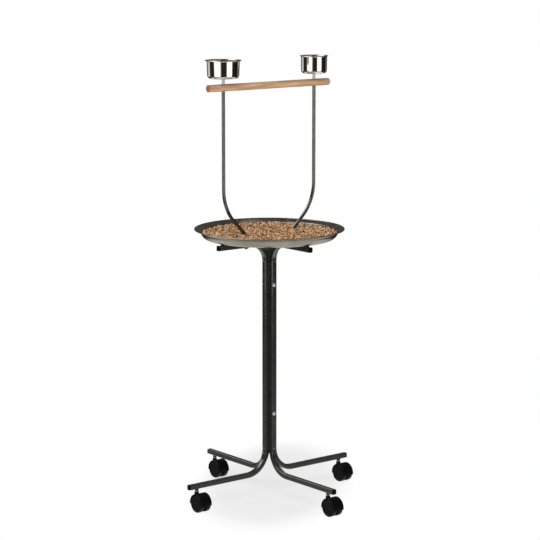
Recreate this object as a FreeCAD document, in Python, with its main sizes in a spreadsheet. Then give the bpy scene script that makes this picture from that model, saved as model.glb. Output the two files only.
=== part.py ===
import FreeCAD, Part
import math
import os
import re
import Sketcher
from FreeCAD import Placement, Rotation, Vector

# Play stand for a parrot: four bent square tubes bolted round a core tube stand on casters
# and carry a round tray, from which two bent rods rise to a wooden perch with two cups.
# Origin: on the floor at the axis of the post.  +Z is up and the perch lies along X.

os.makedirs("parts", exist_ok=True)
doc = FreeCAD.newDocument("PlayStand")

# Driving dimensions in millimetres, and hoop_splay in degrees.
SIZES = {
    # square tubes of the post, legs and arms
    "tube_side": 14.0,
    "tube_wall": 1.5,
    "tube_corner": 2.0,
    "leg_reach": 285.0,         # post axis to the outer face of a leg's cap
    "leg_bend": 66.0,           # centreline radius of the lower bend
    "arm_height": 727.0,        # floor to the centreline of the arms
    "arm_reach": 180.0,
    "arm_bend": 50.0,
    "core_above_legs": 54.0,    # centreline of the legs to the core's lower end
    "core_below_arms": 5.0,
    # plastic caps in the tube ends
    "cap_flange": 2.0,
    "cap_plug": 12.0,
    "cap_wall": 1.2,
    "cap_rim": 1.6,
    "cap_rib": 1.4,
    "cap_recess": 1.2,
    "cap_play": 0.1,
    # bolts through the post
    "bolt_size": 6.0,
    "bolt_play": 0.15,          # radial play of the bolts and the hoop screws
    "bolt_above_legs": 171.0,   # to the lower bolt along Y
    "bolt_below_arms": 118.0,
    "bolt_stagger": 8.0,        # the bolts along X sit this much higher
    "head_radius": 5.5,
    "head_height": 3.2,
    "nut_radius": 4.5,
    "nut_height": 5.0,
    "bolt_spare": 1.0,          # the bolts end this far past their nuts
    # tray and what it rests on
    "pad_length": 20.0,
    "pad_width": 12.0,
    "pad_height": 4.0,
    "pad_corner": 2.0,
    "pad_inset": 13.0,          # end of an arm to its pad
    "tray_radius": 210.0,
    "tray_depth": 29.0,
    "tray_sheet": 1.0,
    "tray_border": 41.0,        # rim to the flat floor
    "tray_corner": 23.5,
    "tray_flange": 10.0,        # height of the sloping rim
    "tray_lip": 2.0,
    "bed_drop": 2.0,            # tray's sloping rim to the bedding's edge
    "bed_crown": 3.0,
    "bed_slope": 40.0,
    "soft_gap": 0.3,
    # hoop rods
    "rod_size": 9.5,
    "hoop_reach": 160.0,
    "hoop_bend": 130.0,
    "hoop_bend_rise": 147.0,    # tray floor to the start of the bend
    "hoop_splay": 45.0,         # the lower run's angle from upright
    "spigot_size": 6.0,
    "spigot_grip": 7.0,         # length of spigot inside the sleeve
    "foot_length": 46.0,
    "foot_width": 16.0,
    "foot_plate": 3.0,
    "foot_inwards": 24.0,       # rod's lower end to the plate's inner end
    "screw_outwards": 12.5,
    "screw_tip": 1.5,
    "washer_radius": 7.0,
    "washer_plate": 1.2,
    "spacer_radius": 8.0,
    "thread_play": 0.05,
    # perch
    "perch_size": 20.0,
    "perch_length": 424.0,
    "perch_rise": 427.0,        # tray floor to the axis of the perch
    "perch_chamfer": 0.8,
    "perch_play": 0.2,
    # cups and the sleeves that carry them
    "sleeve_size": 8.0,
    "sleeve_spare": 1.2,        # between the spigot and the stud
    "cup_gap": 0.2,
    "cup_sheet": 0.8,
    "cup_height": 50.0,
    "cup_corner": 9.0,
    "cup_lip": 1.8,
    "stud_length": 7.0,
    "big_cup_mouth": 45.0,
    "big_cup_taper": 1.5,
    "big_cup_brim": 5.0,
    "small_cup_mouth": 36.8,
    "small_cup_taper": 0.6,
    "small_cup_brim": 3.2,
    # casters
    "stem_inset": 27.0,         # end of a leg to the caster's stem
    "stem_size": 8.0,
    "stem_up": 14.7,            # threaded length above the collar
    "collar_radius": 5.0,
    "collar_height": 4.0,
    "pin_size": 6.0,
    "pin_length": 23.0,
    "pin_play": 0.06,
    "swivel_gap": 0.2,          # between the collar and the boss
    "boss_rise": 0.8,           # top of the hood to the top of the boss
    "boss_radius": 6.5,
    "weldnut_radius": 5.5,
    "weldnut_in": 4.0,          # the nut reaches this far into the leg
    "weldnut_out": 4.8,
    "weldnut_play": 0.05,
    "wheel_radius": 25.0,
    "wheel_width": 13.5,
    "wheel_edge": 3.5,
    "wheel_step": 0.6,
    "wheel_rim": 3.0,
    "wheel_hub": 5.0,
    "wheel_hollow": 7.0,
    "wheel_skin": 3.0,
    "wheel_gap": 0.3,           # between a wheel and the web
    "trail": 19.0,
    "web_width": 8.4,
    "web_radius": 17.0,
    "hood_gap": 0.8,
    "hood_skin": 1.4,
    "hood_round": 1.0,
    "hood_skirt": 4.0,
    "hood_slot": 3.0,
    "hood_slot_long": 6.0,
    "axle_size": 5.0,
    "axle_grip": 9.0,           # length of axle in each wheel
    "axle_play": 0.05,
}

# Places that several pieces share, from the casters upwards.
HOOD_RADIUS = "(wheel_radius + hood_gap + hood_skin)"
BOSS_TOP = f"(wheel_radius + {HOOD_RADIUS} + boss_rise)"
STEM_REACH = "(leg_reach - stem_inset)"
COLLAR_BOTTOM = f"({BOSS_TOP} + swivel_gap)"
LEG_UNDERSIDE = f"({COLLAR_BOTTOM} + collar_height + weldnut_out)"
LEG_HEIGHT = f"({LEG_UNDERSIDE} + tube_side / 2)"
POST_HALF = "(tube_side * 3 / 2)"
ARM_UNDERSIDE = "(arm_height - tube_side / 2)"
ARM_TOP = "(arm_height + tube_side / 2)"
TRAY_BOTTOM = f"({ARM_TOP} + pad_height)"
TRAY_FLOOR = f"({TRAY_BOTTOM} + tray_sheet)"
TRAY_FLAT = "(tray_radius - tray_border)"
SPLAY = "(hoop_splay * 1 deg)"
BEND_START = f"({TRAY_FLOOR} + hoop_bend_rise)"
BEND_END_REACH = f"(hoop_reach - hoop_bend * (1 - cos({SPLAY})))"
BEND_END_HEIGHT = f"({BEND_START} - hoop_bend * sin({SPLAY}))"
FOOT_HEIGHT = f"({TRAY_FLOOR} + rod_size / 2 * sin({SPLAY}))"
FOOT_REACH = f"({BEND_END_REACH} - ({BEND_END_HEIGHT} - {FOOT_HEIGHT}) * tan({SPLAY}))"
SCREW_REACH = f"({FOOT_REACH} + screw_outwards)"
PLATE_INNER = f"({FOOT_REACH} - foot_inwards)"
PERCH_HEIGHT = f"({TRAY_FLOOR} + perch_rise)"
PERCH_UNDERSIDE = f"({PERCH_HEIGHT} - perch_size / 2)"
PERCH_TOP = f"({PERCH_HEIGHT} + perch_size / 2)"
SLEEVE_LENGTH = "(spigot_grip + sleeve_spare + stud_length - cup_gap)"
CUP_BOTTOM = f"({PERCH_TOP} + {SLEEVE_LENGTH} + cup_gap)"
SIDES = {"right": 0, "back": 90, "left": 180, "front": 270}

sheet = doc.addObject("Spreadsheet::Sheet", "Dims")
for row, (alias, number) in enumerate(SIZES.items(), 1):
    sheet.set(f"A{row}", alias)
    sheet.set(f"B{row}", str(number))
    sheet.setAlias(f"B{row}", alias)
reader = doc.addObject("App::FeaturePython", "Reader")
doc.recompute()
finished = []


def link(text):
    """Puts the sheet's name before every alias in an expression."""
    return re.sub(r"[a-z]\w*", lambda word: "Dims." + word[0] if word[0] in SIZES else word[0], text)


def value(text):
    """The number that an expression gives."""
    return float(reader.evalExpression(link(text)))


def bind(thing, **expressions):
    """Binds properties to expressions; a double underscore in a name stands for a dot."""
    for name, text in expressions.items():
        thing.setExpression(name.replace("__", "."), link(text))


def place(thing, reach="0", height="0", angle=0):
    """Turns a piece about Z and moves it out along its own X by reach, and up by height."""
    thing.Placement = Placement(Vector(), Rotation(Vector(0, 0, 1), angle))
    along_x = round(math.cos(math.radians(angle)))
    along_y = round(math.sin(math.radians(angle)))
    bind(thing, Placement__Base__x=f"{along_x} * ({reach})", Placement__Base__z=height)
    bind(thing, Placement__Base__y=f"{along_y} * ({reach})")


def new_body(label):
    body = doc.addObject("PartDesign::Body", label)
    body.Label = label
    return body


def new_sketch(body, name, role, offset="0"):
    """A sketch on one of the body's own planes, moved along the plane's normal."""
    sketch = body.newObject("Sketcher::SketchObject", name)
    planes = [item for item in body.Origin.OriginFeatures if item.Role == role]
    sketch.AttachmentSupport = [(planes[0], "")]
    sketch.MapMode = "FlatFace"
    bind(sketch, AttachmentOffset__Base__z=offset)
    return sketch


def arc_between(start, end, radius, turn):
    """The short arc from start to end that turns left or right."""
    chord = end - start
    middle = (start + end) * 0.5
    height = math.sqrt(max(radius ** 2 - (chord.Length / 2) ** 2, 0.0))
    left = Vector(-chord.y, chord.x, 0).normalize()
    centre = middle + left * (height if turn == "left" else -height)
    first, last = (start, end) if turn == "left" else (end, start)
    angles = [math.atan2(point.y - centre.y, point.x - centre.x) for point in (first, last)]
    return Part.ArcOfCircle(Part.Circle(centre, Vector(0, 0, 1), radius), *angles)


def fix_point(sketch, geometry, end, x_text, y_text):
    """Holds one point of a sketch at the place that two expressions give."""
    for kind, text, axis in (("DistanceX", x_text, -2), ("DistanceY", y_text, -1)):
        if text == "0":
            sketch.addConstraint(Sketcher.Constraint("PointOnObject", geometry, end, axis))
        else:
            rule = Sketcher.Constraint(kind, -1, 1, geometry, end, value(text))
            sketch.setExpression(f"Constraints[{sketch.addConstraint(rule)}]", link(text))


def draw(sketch, points, closed=True):
    """Draws lines and arcs.  A point is (x, y), or (x, y, radius, turn) before an arc."""
    places = [Vector(value(point[0]), value(point[1]), 0) for point in points]
    count = len(points) if closed else len(points) - 1
    first = sketch.GeometryCount
    ends = []
    for index in range(count):
        start, end = places[index], places[(index + 1) % len(points)]
        if len(points[index]) == 4:
            radius, turn = points[index][2:]
            number = sketch.addGeometry(arc_between(start, end, value(radius), turn), False)
            rule = Sketcher.Constraint("Radius", number, value(radius))
            sketch.setExpression(f"Constraints[{sketch.addConstraint(rule)}]", link(radius))
            ends.append((1, 2) if turn == "left" else (2, 1))
        else:
            number = sketch.addGeometry(Part.LineSegment(start, end), False)
            ends.append((1, 2))
    for index in range(count):
        fix_point(sketch, first + index, ends[index][0], *points[index][:2])
        if closed or index + 1 < count:
            follower = (index + 1) % count
            sketch.addConstraint(Sketcher.Constraint(
                "Coincident", first + index, ends[index][1], first + follower, ends[follower][0]))
    if not closed:
        fix_point(sketch, first + count - 1, ends[-1][1], *points[-1][:2])


def draw_circle(sketch, x_text, y_text, radius):
    circle = Part.Circle(Vector(value(x_text), value(y_text), 0), Vector(0, 0, 1), value(radius))
    number = sketch.addGeometry(circle, False)
    fix_point(sketch, number, 3, x_text, y_text)
    rule = Sketcher.Constraint("Radius", number, value(radius))
    sketch.setExpression(f"Constraints[{sketch.addConstraint(rule)}]", link(radius))


def draw_rounded(sketch, x_text, y_text, half_x, half_y, corner):
    """A rectangle with round corners about a centre."""
    left, right = f"{x_text} - ({half_x})", f"{x_text} + ({half_x})"
    low, high = f"{y_text} - ({half_y})", f"{y_text} + ({half_y})"
    draw(sketch, [
        (f"{left} + {corner}", low), (f"{right} - {corner}", low, corner, "left"),
        (right, f"{low} + {corner}"), (right, f"{high} - {corner}", corner, "left"),
        (f"{right} - {corner}", high), (f"{left} + {corner}", high, corner, "left"),
        (left, f"{high} - {corner}"), (left, f"{low} + {corner}", corner, "left")])


def draw_box(sketch, left, right, low, high):
    draw(sketch, [(left, low), (right, low), (right, high), (left, high)])


def add_pad(body, sketch, length, both=False, down=False):
    feature = body.newObject("PartDesign::Pad", sketch.Name + "Pad")
    feature.Profile = sketch
    feature.Midplane = both
    feature.Reversed = down
    bind(feature, Length=length)
    doc.recompute()
    return feature


def add_pocket(body, sketch, length, both=False, up=False):
    """Cuts a sketch out of the body, downwards along its normal unless up is set."""
    before = body.Shape.Volume
    feature = body.newObject("PartDesign::Pocket", sketch.Name + "Pocket")
    feature.Profile = sketch
    feature.Midplane = both
    feature.Reversed = up
    bind(feature, Length=length)
    doc.recompute()
    if not body.Shape.Volume < before:
        raise RuntimeError(f"{body.Label}: {feature.Label} cuts nothing")
    return feature


def add_turn(body, sketch, axis="V_Axis"):
    feature = body.newObject("PartDesign::Revolution", sketch.Name + "Turn")
    feature.Profile = sketch
    feature.ReferenceAxis = (sketch, [axis])
    feature.Angle = 360
    doc.recompute()
    return feature


def add_pipe(body, profile, path):
    feature = body.newObject("PartDesign::AdditivePipe", path.Name + "Pipe")
    feature.Profile = profile
    feature.Spine = (path, [f"Edge{index + 1}" for index in range(path.GeometryCount)])
    doc.recompute()
    return feature


def finish(thing):
    finished.append(thing)
    return thing


def as_group(label, pieces):
    """Several equal small pieces that share a node."""
    group = doc.addObject("Part::Compound", label)
    group.Label = label
    group.Links = pieces
    return finish(group)


def bent_tube(side, angle):
    """Leg, upright and arm bent from one square tube, drawn in its own XZ plane."""
    body = new_body(f"tube_{side}")
    path = new_sketch(body, "TubePath", "XZ_Plane")
    draw(path, [
        ("leg_reach - cap_flange", LEG_HEIGHT),
        ("tube_side + leg_bend", LEG_HEIGHT, "leg_bend", "right"),
        ("tube_side", f"{LEG_HEIGHT} + leg_bend"),
        ("tube_side", "arm_height - arm_bend", "arm_bend", "right"),
        ("tube_side + arm_bend", "arm_height"),
        ("arm_reach - cap_flange", "arm_height")], closed=False)
    section = new_sketch(body, "TubeSection", "YZ_Plane", "leg_reach - cap_flange")
    inside = "tube_side / 2 - tube_wall"
    draw_rounded(section, "0", LEG_HEIGHT, "tube_side / 2", "tube_side / 2", "tube_corner")
    draw_rounded(section, "0", LEG_HEIGHT, inside, inside, "(tube_corner / 2)")
    add_pipe(body, section, path)
    bolts = new_sketch(body, "TubeBolts", "YZ_Plane", "tube_side")
    for height in bolt_heights(side):
        draw_circle(bolts, "0", height, "bolt_size / 2 + bolt_play")
    add_pocket(body, bolts, "tube_side * 2", both=side in ("left", "front"))
    stem = new_sketch(body, "TubeStem", "XY_Plane", LEG_HEIGHT)
    draw_circle(stem, STEM_REACH, "0", "weldnut_radius + weldnut_play")
    add_pocket(body, stem, "tube_side")
    if side in ("left", "right"):
        screw = new_sketch(body, "TubeScrew", "XY_Plane", "arm_height")
        draw_circle(screw, SCREW_REACH, "0", "bolt_size / 2 + bolt_play")
        add_pocket(body, screw, "tube_side * 2", both=True)
    place(body, angle=angle)
    return finish(body)


def bolt_heights(side):
    """The bolts along X pass above those along Y."""
    lift = " + bolt_stagger" if side in ("left", "right") else ""
    return [f"{LEG_HEIGHT} + bolt_above_legs{lift}", f"arm_height - bolt_below_arms{lift}"]


def core_tube():
    """Square tube in the middle of the post, which the four bent tubes are bolted to."""
    body = new_body("core_tube")
    bottom = f"({LEG_HEIGHT} + core_above_legs)"
    section = new_sketch(body, "CoreSection", "XY_Plane", bottom)
    inside = "tube_side / 2 - tube_wall"
    draw_rounded(section, "0", "0", "tube_side / 2", "tube_side / 2", "tube_corner")
    draw_rounded(section, "0", "0", inside, inside, "(tube_corner / 2)")
    add_pad(body, section, f"arm_height - core_below_arms - {bottom}")
    for name, role, side in (("CoreAcross", "YZ_Plane", "left"), ("CoreAlong", "XZ_Plane", "front")):
        bolts = new_sketch(body, name, role)
        for height in bolt_heights(side):
            draw_circle(bolts, "0", height, "bolt_size / 2 + bolt_play")
        add_pocket(body, bolts, "tube_side * 2", both=True)
    return finish(body)


def end_cap(label, reach, height, angle):
    """Square plug with a ribbed outer face, drawn with that face in its own YZ plane."""
    body = new_body(label)
    flange = new_sketch(body, "CapFlange", "YZ_Plane")
    draw_rounded(flange, "0", "0", "tube_side / 2", "tube_side / 2", "tube_corner")
    add_pad(body, flange, "cap_flange", down=True)
    plug = new_sketch(body, "CapPlug", "YZ_Plane", "-cap_flange")
    outside = "tube_side / 2 - tube_wall - cap_play"
    inside = outside + " - cap_wall"
    draw_rounded(plug, "0", "0", outside, outside, "(tube_corner / 2)")
    draw_box(plug, f"-({inside})", inside, f"-({inside})", inside)
    add_pad(body, plug, "cap_plug", down=True)
    recess = new_sketch(body, "CapRecess", "YZ_Plane")
    near, far = "cap_rib / 2", "tube_side / 2 - cap_rim"
    for left, right in ((near, far), (f"-({far})", f"-({near})")):
        for low, high in ((near, far), (f"-({far})", f"-({near})")):
            draw_box(recess, left, right, low, high)
    add_pocket(body, recess, "cap_recess")
    place(body, reach, height, angle)
    return finish(body)


def tray_pad(side, angle):
    """Rubber pad on an arm, under the tray."""
    body = new_body(f"tray_pad_{side}")
    outline = new_sketch(body, "PadOutline", "XY_Plane")
    draw_rounded(outline, "0", "0", "pad_length / 2", "pad_width / 2", "pad_corner")
    add_pad(body, outline, "pad_height")
    place(body, "arm_reach - pad_inset - pad_length / 2", ARM_TOP, angle)
    return finish(body)


def ring(label, radius, hole, thickness, reach, height, angle):
    """Flat ring on the Z axis of a screw."""
    body = new_body(label)
    outline = new_sketch(body, "RingOutline", "XY_Plane")
    draw_circle(outline, "0", "0", radius)
    draw_circle(outline, "0", "0", hole)
    add_pad(body, outline, thickness)
    place(body, reach, height, angle)
    return body


def dome_screw(label, length):
    """Round-headed screw along its own Z: the head is above zero and the shank below."""
    body = new_body(label)
    outline = new_sketch(body, "ScrewOutline", "XZ_Plane")
    dome = "((head_radius ^ 2 + head_height ^ 2) / (2 * head_height))"
    draw(outline, [
        ("0", f"-({length})"), ("bolt_size / 2", f"-({length})"), ("bolt_size / 2", "0"),
        ("head_radius", "0", dome, "left"), ("0", "head_height")])
    add_turn(body, outline)
    return body


def round_nut(label):
    """Nut along its own Z, with its seat at zero."""
    body = new_body(label)
    outline = new_sketch(body, "NutOutline", "XZ_Plane")
    bore = "bolt_size / 2 + thread_play"
    draw(outline, [
        (bore, "0"), ("nut_radius", "0"), ("nut_radius", "nut_height"), (bore, "nut_height")])
    add_turn(body, outline)
    return body


def along(body, angle, reach, height):
    """Lays a piece that was drawn along Z level, with its Z pointing out at an angle."""
    outwards = Rotation(Vector(0, 0, 1), angle).multiply(Rotation(Vector(0, 1, 0), 90))
    place(body, reach, height, angle)
    body.Placement = Placement(body.Placement.Base, outwards)


def post_bolts():
    """Bolts with their heads at the left and the front, and nuts fixed inside the far tubes."""
    bolts, nuts = [], []
    seat = "(tube_side / 2 + tube_wall)"
    for head_side, nut_side in (("left", "right"), ("front", "back")):
        for name, height in zip(("low", "high"), bolt_heights(head_side)):
            bolt = dome_screw(
                f"bolt_{head_side}_{name}", f"{POST_HALF} + {seat} + nut_height + bolt_spare")
            along(bolt, SIDES[head_side], POST_HALF, height)
            bolts.append(bolt)
            nut = round_nut(f"nut_{nut_side}_{name}")
            along(nut, SIDES[nut_side], seat, height)
            nuts.append(nut)
    as_group("post_bolts", bolts)
    as_group("post_nuts", nuts)


def tray():
    """Round sheet-metal tray: flat floor, round corner and a sloping rim with a lip."""
    body = new_body("tray")
    outline = new_sketch(body, "TrayOutline", "XZ_Plane")
    neck = "(tray_depth - tray_flange)"
    outside = f"{TRAY_FLAT} + sqrt(tray_corner ^ 2 - (tray_corner - {neck}) ^ 2)"
    inner_corner = "(tray_corner - tray_sheet)"
    inside = f"{TRAY_FLAT} + sqrt({inner_corner} ^ 2 - (tray_corner - {neck}) ^ 2)"
    draw(outline, [
        ("0", "0"), (TRAY_FLAT, "0", "tray_corner", "left"),
        (outside, neck), ("tray_radius", "tray_depth - tray_lip"), ("tray_radius", "tray_depth"),
        ("tray_radius - tray_lip", "tray_depth"), (inside, neck, inner_corner, "right"),
        (TRAY_FLAT, "tray_sheet"), ("0", "tray_sheet")])
    add_turn(body, outline)
    holes = new_sketch(body, "TrayHoles", "XY_Plane")
    for reach in (SCREW_REACH, f"-{SCREW_REACH}"):
        draw_circle(holes, reach, "0", "bolt_size / 2 + bolt_play")
    add_pocket(body, holes, "tray_sheet * 2", up=True)
    place(body, height=TRAY_BOTTOM)
    return finish(body)


def rod_path(sketch):
    """Centreline of a hoop rod: upright, bent inwards, then straight to the tray's floor."""
    draw(sketch, [
        ("hoop_reach", PERCH_UNDERSIDE), ("hoop_reach", BEND_START, "hoop_bend", "right"),
        (BEND_END_REACH, BEND_END_HEIGHT), (FOOT_REACH, FOOT_HEIGHT)], closed=False)


def hoop_rod(side, angle):
    """Bent round rod with a threaded spigot for the perch and a plate welded to its foot."""
    body = new_body(f"hoop_rod_{side}")
    path = new_sketch(body, "RodPath", "XZ_Plane")
    rod_path(path)
    section = new_sketch(body, "RodSection", "XY_Plane", PERCH_UNDERSIDE)
    draw_circle(section, "hoop_reach", "0", "rod_size / 2")
    add_pipe(body, section, path)
    spigot = new_sketch(body, "RodSpigot", "XY_Plane", PERCH_UNDERSIDE)
    draw_circle(spigot, "hoop_reach", "0", "spigot_size / 2")
    add_pad(body, spigot, "perch_size + spigot_grip")
    plate = new_sketch(body, "RodPlate", "XY_Plane", TRAY_FLOOR)
    draw_rounded(plate, f"{PLATE_INNER} + foot_length / 2", "0", "foot_length / 2",
                 "foot_width / 2", "(foot_width / 4)")
    add_pad(body, plate, "foot_plate")
    thread = new_sketch(body, "RodThread", "XY_Plane", TRAY_FLOOR)
    draw_circle(thread, SCREW_REACH, "0", "bolt_size / 2 + thread_play")
    add_pocket(body, thread, "foot_plate", up=True)
    place(body, angle=angle)
    return finish(body)


def hoop_fixings():
    """Screws, washers and rubber spacers that hold the hoop's feet and the tray to the arms."""
    screws, washers, spacers = [], [], []
    hole = "bolt_size / 2 + bolt_play"
    for side in ("left", "right"):
        length = "washer_plate + tube_side + pad_height + tray_sheet + foot_plate + screw_tip"
        screw = dome_screw(f"hoop_screw_{side}", length)
        place(screw, SCREW_REACH, f"{ARM_UNDERSIDE} - washer_plate", SIDES[side])
        flipped = screw.Placement.Rotation.multiply(Rotation(Vector(1, 0, 0), 180))
        screw.Placement = Placement(screw.Placement.Base, flipped)
        screws.append(screw)
        washers.append(ring(f"hoop_washer_{side}", "washer_radius", hole, "washer_plate",
                            SCREW_REACH, f"{ARM_UNDERSIDE} - washer_plate", SIDES[side]))
        spacers.append(ring(f"tray_spacer_{side}", "spacer_radius", hole, "pad_height",
                            SCREW_REACH, ARM_TOP, SIDES[side]))
    as_group("hoop_screws", screws)
    as_group("hoop_washers", washers)
    as_group("tray_spacers", spacers)


def bedding():
    """Layer of wood chips on the tray floor, cut clear of the rods and their feet."""
    body = new_body("bedding_layer")
    outline = new_sketch(body, "BeddingOutline", "XZ_Plane")
    corner = "(tray_corner - tray_sheet - soft_gap)"
    low = "(tray_sheet + soft_gap)"
    high = "(tray_depth - tray_flange - bed_drop)"
    edge = f"({TRAY_FLAT} + sqrt({corner} ^ 2 - (tray_corner - {high}) ^ 2))"
    draw(outline, [
        ("0", low), (TRAY_FLAT, low, corner, "left"), (edge, high),
        (f"{edge} - bed_slope", f"{high} + bed_crown"), ("0", f"{high} + bed_crown")])
    add_turn(body, outline)
    place(body, height=TRAY_BOTTOM)
    tools = []
    for side in ("left", "right"):
        channel = new_body(f"rod_channel_{side}")
        path = new_sketch(channel, "ChannelPath", "XZ_Plane")
        rod_path(path)
        section = new_sketch(channel, "ChannelSection", "XY_Plane", PERCH_UNDERSIDE)
        draw_circle(section, "hoop_reach", "0", "rod_size / 2 + soft_gap")
        add_pipe(channel, section, path)
        place(channel, angle=SIDES[side])
        room = doc.addObject("Part::Box", f"foot_room_{side}")
        bind(room, Length="foot_length + 2 * soft_gap", Width="foot_width + 2 * soft_gap",
             Height="foot_plate + screw_tip + 2 * soft_gap")
        start = PLATE_INNER if side == "right" else f"-{PLATE_INNER} - foot_length"
        bind(room, Placement__Base__x=f"{start} - soft_gap",
             Placement__Base__y="-foot_width / 2 - soft_gap", Placement__Base__z=TRAY_FLOOR)
        tools += [channel, room]
    cutter = doc.addObject("Part::MultiFuse", "BeddingCutter")
    cutter.Shapes = tools
    layer = doc.addObject("Part::Cut", "bedding")
    layer.Label = "bedding"
    layer.Base = body
    layer.Tool = cutter
    doc.recompute()
    return finish(layer)


def perch():
    """Wooden dowel along X with a hole for each rod's spigot."""
    body = new_body("perch")
    section = new_sketch(body, "PerchSection", "YZ_Plane")
    draw_circle(section, "0", "0", "perch_size / 2")
    add_pad(body, section, "perch_length", both=True)
    holes = new_sketch(body, "PerchHoles", "XY_Plane")
    for reach in ("hoop_reach", "-hoop_reach"):
        draw_circle(holes, reach, "0", "spigot_size / 2 + perch_play")
    add_pocket(body, holes, "perch_size * 2", both=True)
    rims = [f"Edge{number}" for number, edge in enumerate(body.Shape.Edges, 1)
            if abs(abs(edge.CenterOfMass.x) - value("perch_length / 2")) < 1e-3
            and edge.Length > value("perch_size")]
    chamfer = body.newObject("PartDesign::Chamfer", "PerchChamfer")
    chamfer.Base = (body.Tip if body.Tip != chamfer else body.Group[-2], rims)
    bind(chamfer, Size="perch_chamfer")
    doc.recompute()
    body.Tip = chamfer
    place(body, height=PERCH_HEIGHT)
    return finish(body)


def perch_sleeve(side, angle):
    """Threaded sleeve that clamps the perch on its rod and takes the cup's stud."""
    body = ring(f"perch_sleeve_{side}", "sleeve_size / 2", "spigot_size / 2 + thread_play",
                SLEEVE_LENGTH, "hoop_reach", PERCH_TOP, angle)
    return finish(body)


def cup(side, angle, kind):
    """Pressed steel cup with a flat lip, and the stud welded under its floor."""
    mouth = f"{kind}_cup_mouth"
    base = f"({mouth} - {kind}_cup_taper)"
    rim = f"({mouth} + {kind}_cup_brim)"
    body = new_body(f"cup_{side}")
    outline = new_sketch(body, "CupOutline", "XZ_Plane")
    under_lip = "cup_height - cup_lip"
    round_end = "(cup_lip / 2)"
    draw(outline, [
        ("0", "0"), (f"{base} - cup_corner", "0", "cup_corner", "left"),
        (base, "cup_corner"), (mouth, under_lip),
        (f"{rim} - cup_lip / 2", under_lip, round_end, "left"),
        (rim, f"cup_height - {round_end}", round_end, "left"),
        (f"{rim} - cup_lip / 2", "cup_height"),
        (f"{mouth} - cup_sheet", "cup_height"),
        (f"{base} - cup_sheet", "cup_corner", "(cup_corner - cup_sheet)", "right"),
        (f"{base} - cup_corner", "cup_sheet"), ("0", "cup_sheet")])
    add_turn(body, outline)
    place(body, "hoop_reach", CUP_BOTTOM, angle)
    finish(body)
    stud = new_body(f"cup_stud_{side}")
    section = new_sketch(stud, "StudSection", "XY_Plane")
    draw_circle(section, "0", "0", "spigot_size / 2")
    add_pad(stud, section, "stud_length", down=True)
    place(stud, "hoop_reach", CUP_BOTTOM, angle)
    return finish(stud)


def caster_stem(side, angle):
    """Steel stem: thread in the leg's nut, a collar, and the pin that the caster turns on."""
    body = new_body(f"caster_stem_{side}")
    outline = new_sketch(body, "StemOutline", "XZ_Plane")
    draw(outline, [
        ("0", "-pin_length"), ("pin_size / 2", "-pin_length"), ("pin_size / 2", "0"),
        ("collar_radius", "0"), ("collar_radius", "collar_height"),
        ("stem_size / 2", "collar_height"), ("stem_size / 2", "collar_height + stem_up"),
        ("0", "collar_height + stem_up")])
    add_turn(body, outline)
    place(body, STEM_REACH, COLLAR_BOTTOM, angle)
    return finish(body)


def stem_nuts():
    """Nuts welded through the underside of the legs, one for each caster's stem."""
    top = f"({LEG_UNDERSIDE} + weldnut_in)"
    bottom = f"({COLLAR_BOTTOM} + collar_height)"
    nuts = [ring(f"stem_nut_{side}", "weldnut_radius", "stem_size / 2 + thread_play",
                 f"{top} - {bottom}", STEM_REACH, bottom, angle)
            for side, angle in SIDES.items()]
    as_group("stem_nuts", nuts)


def at_caster(thing, side):
    """Moves a caster's piece under its leg without turning it: all the casters trail one way."""
    angle = math.radians(SIDES[side])
    bind(thing, Placement__Base__x=f"{round(math.cos(angle))} * {STEM_REACH}",
         Placement__Base__y=f"{round(math.sin(angle))} * {STEM_REACH}")


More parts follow.
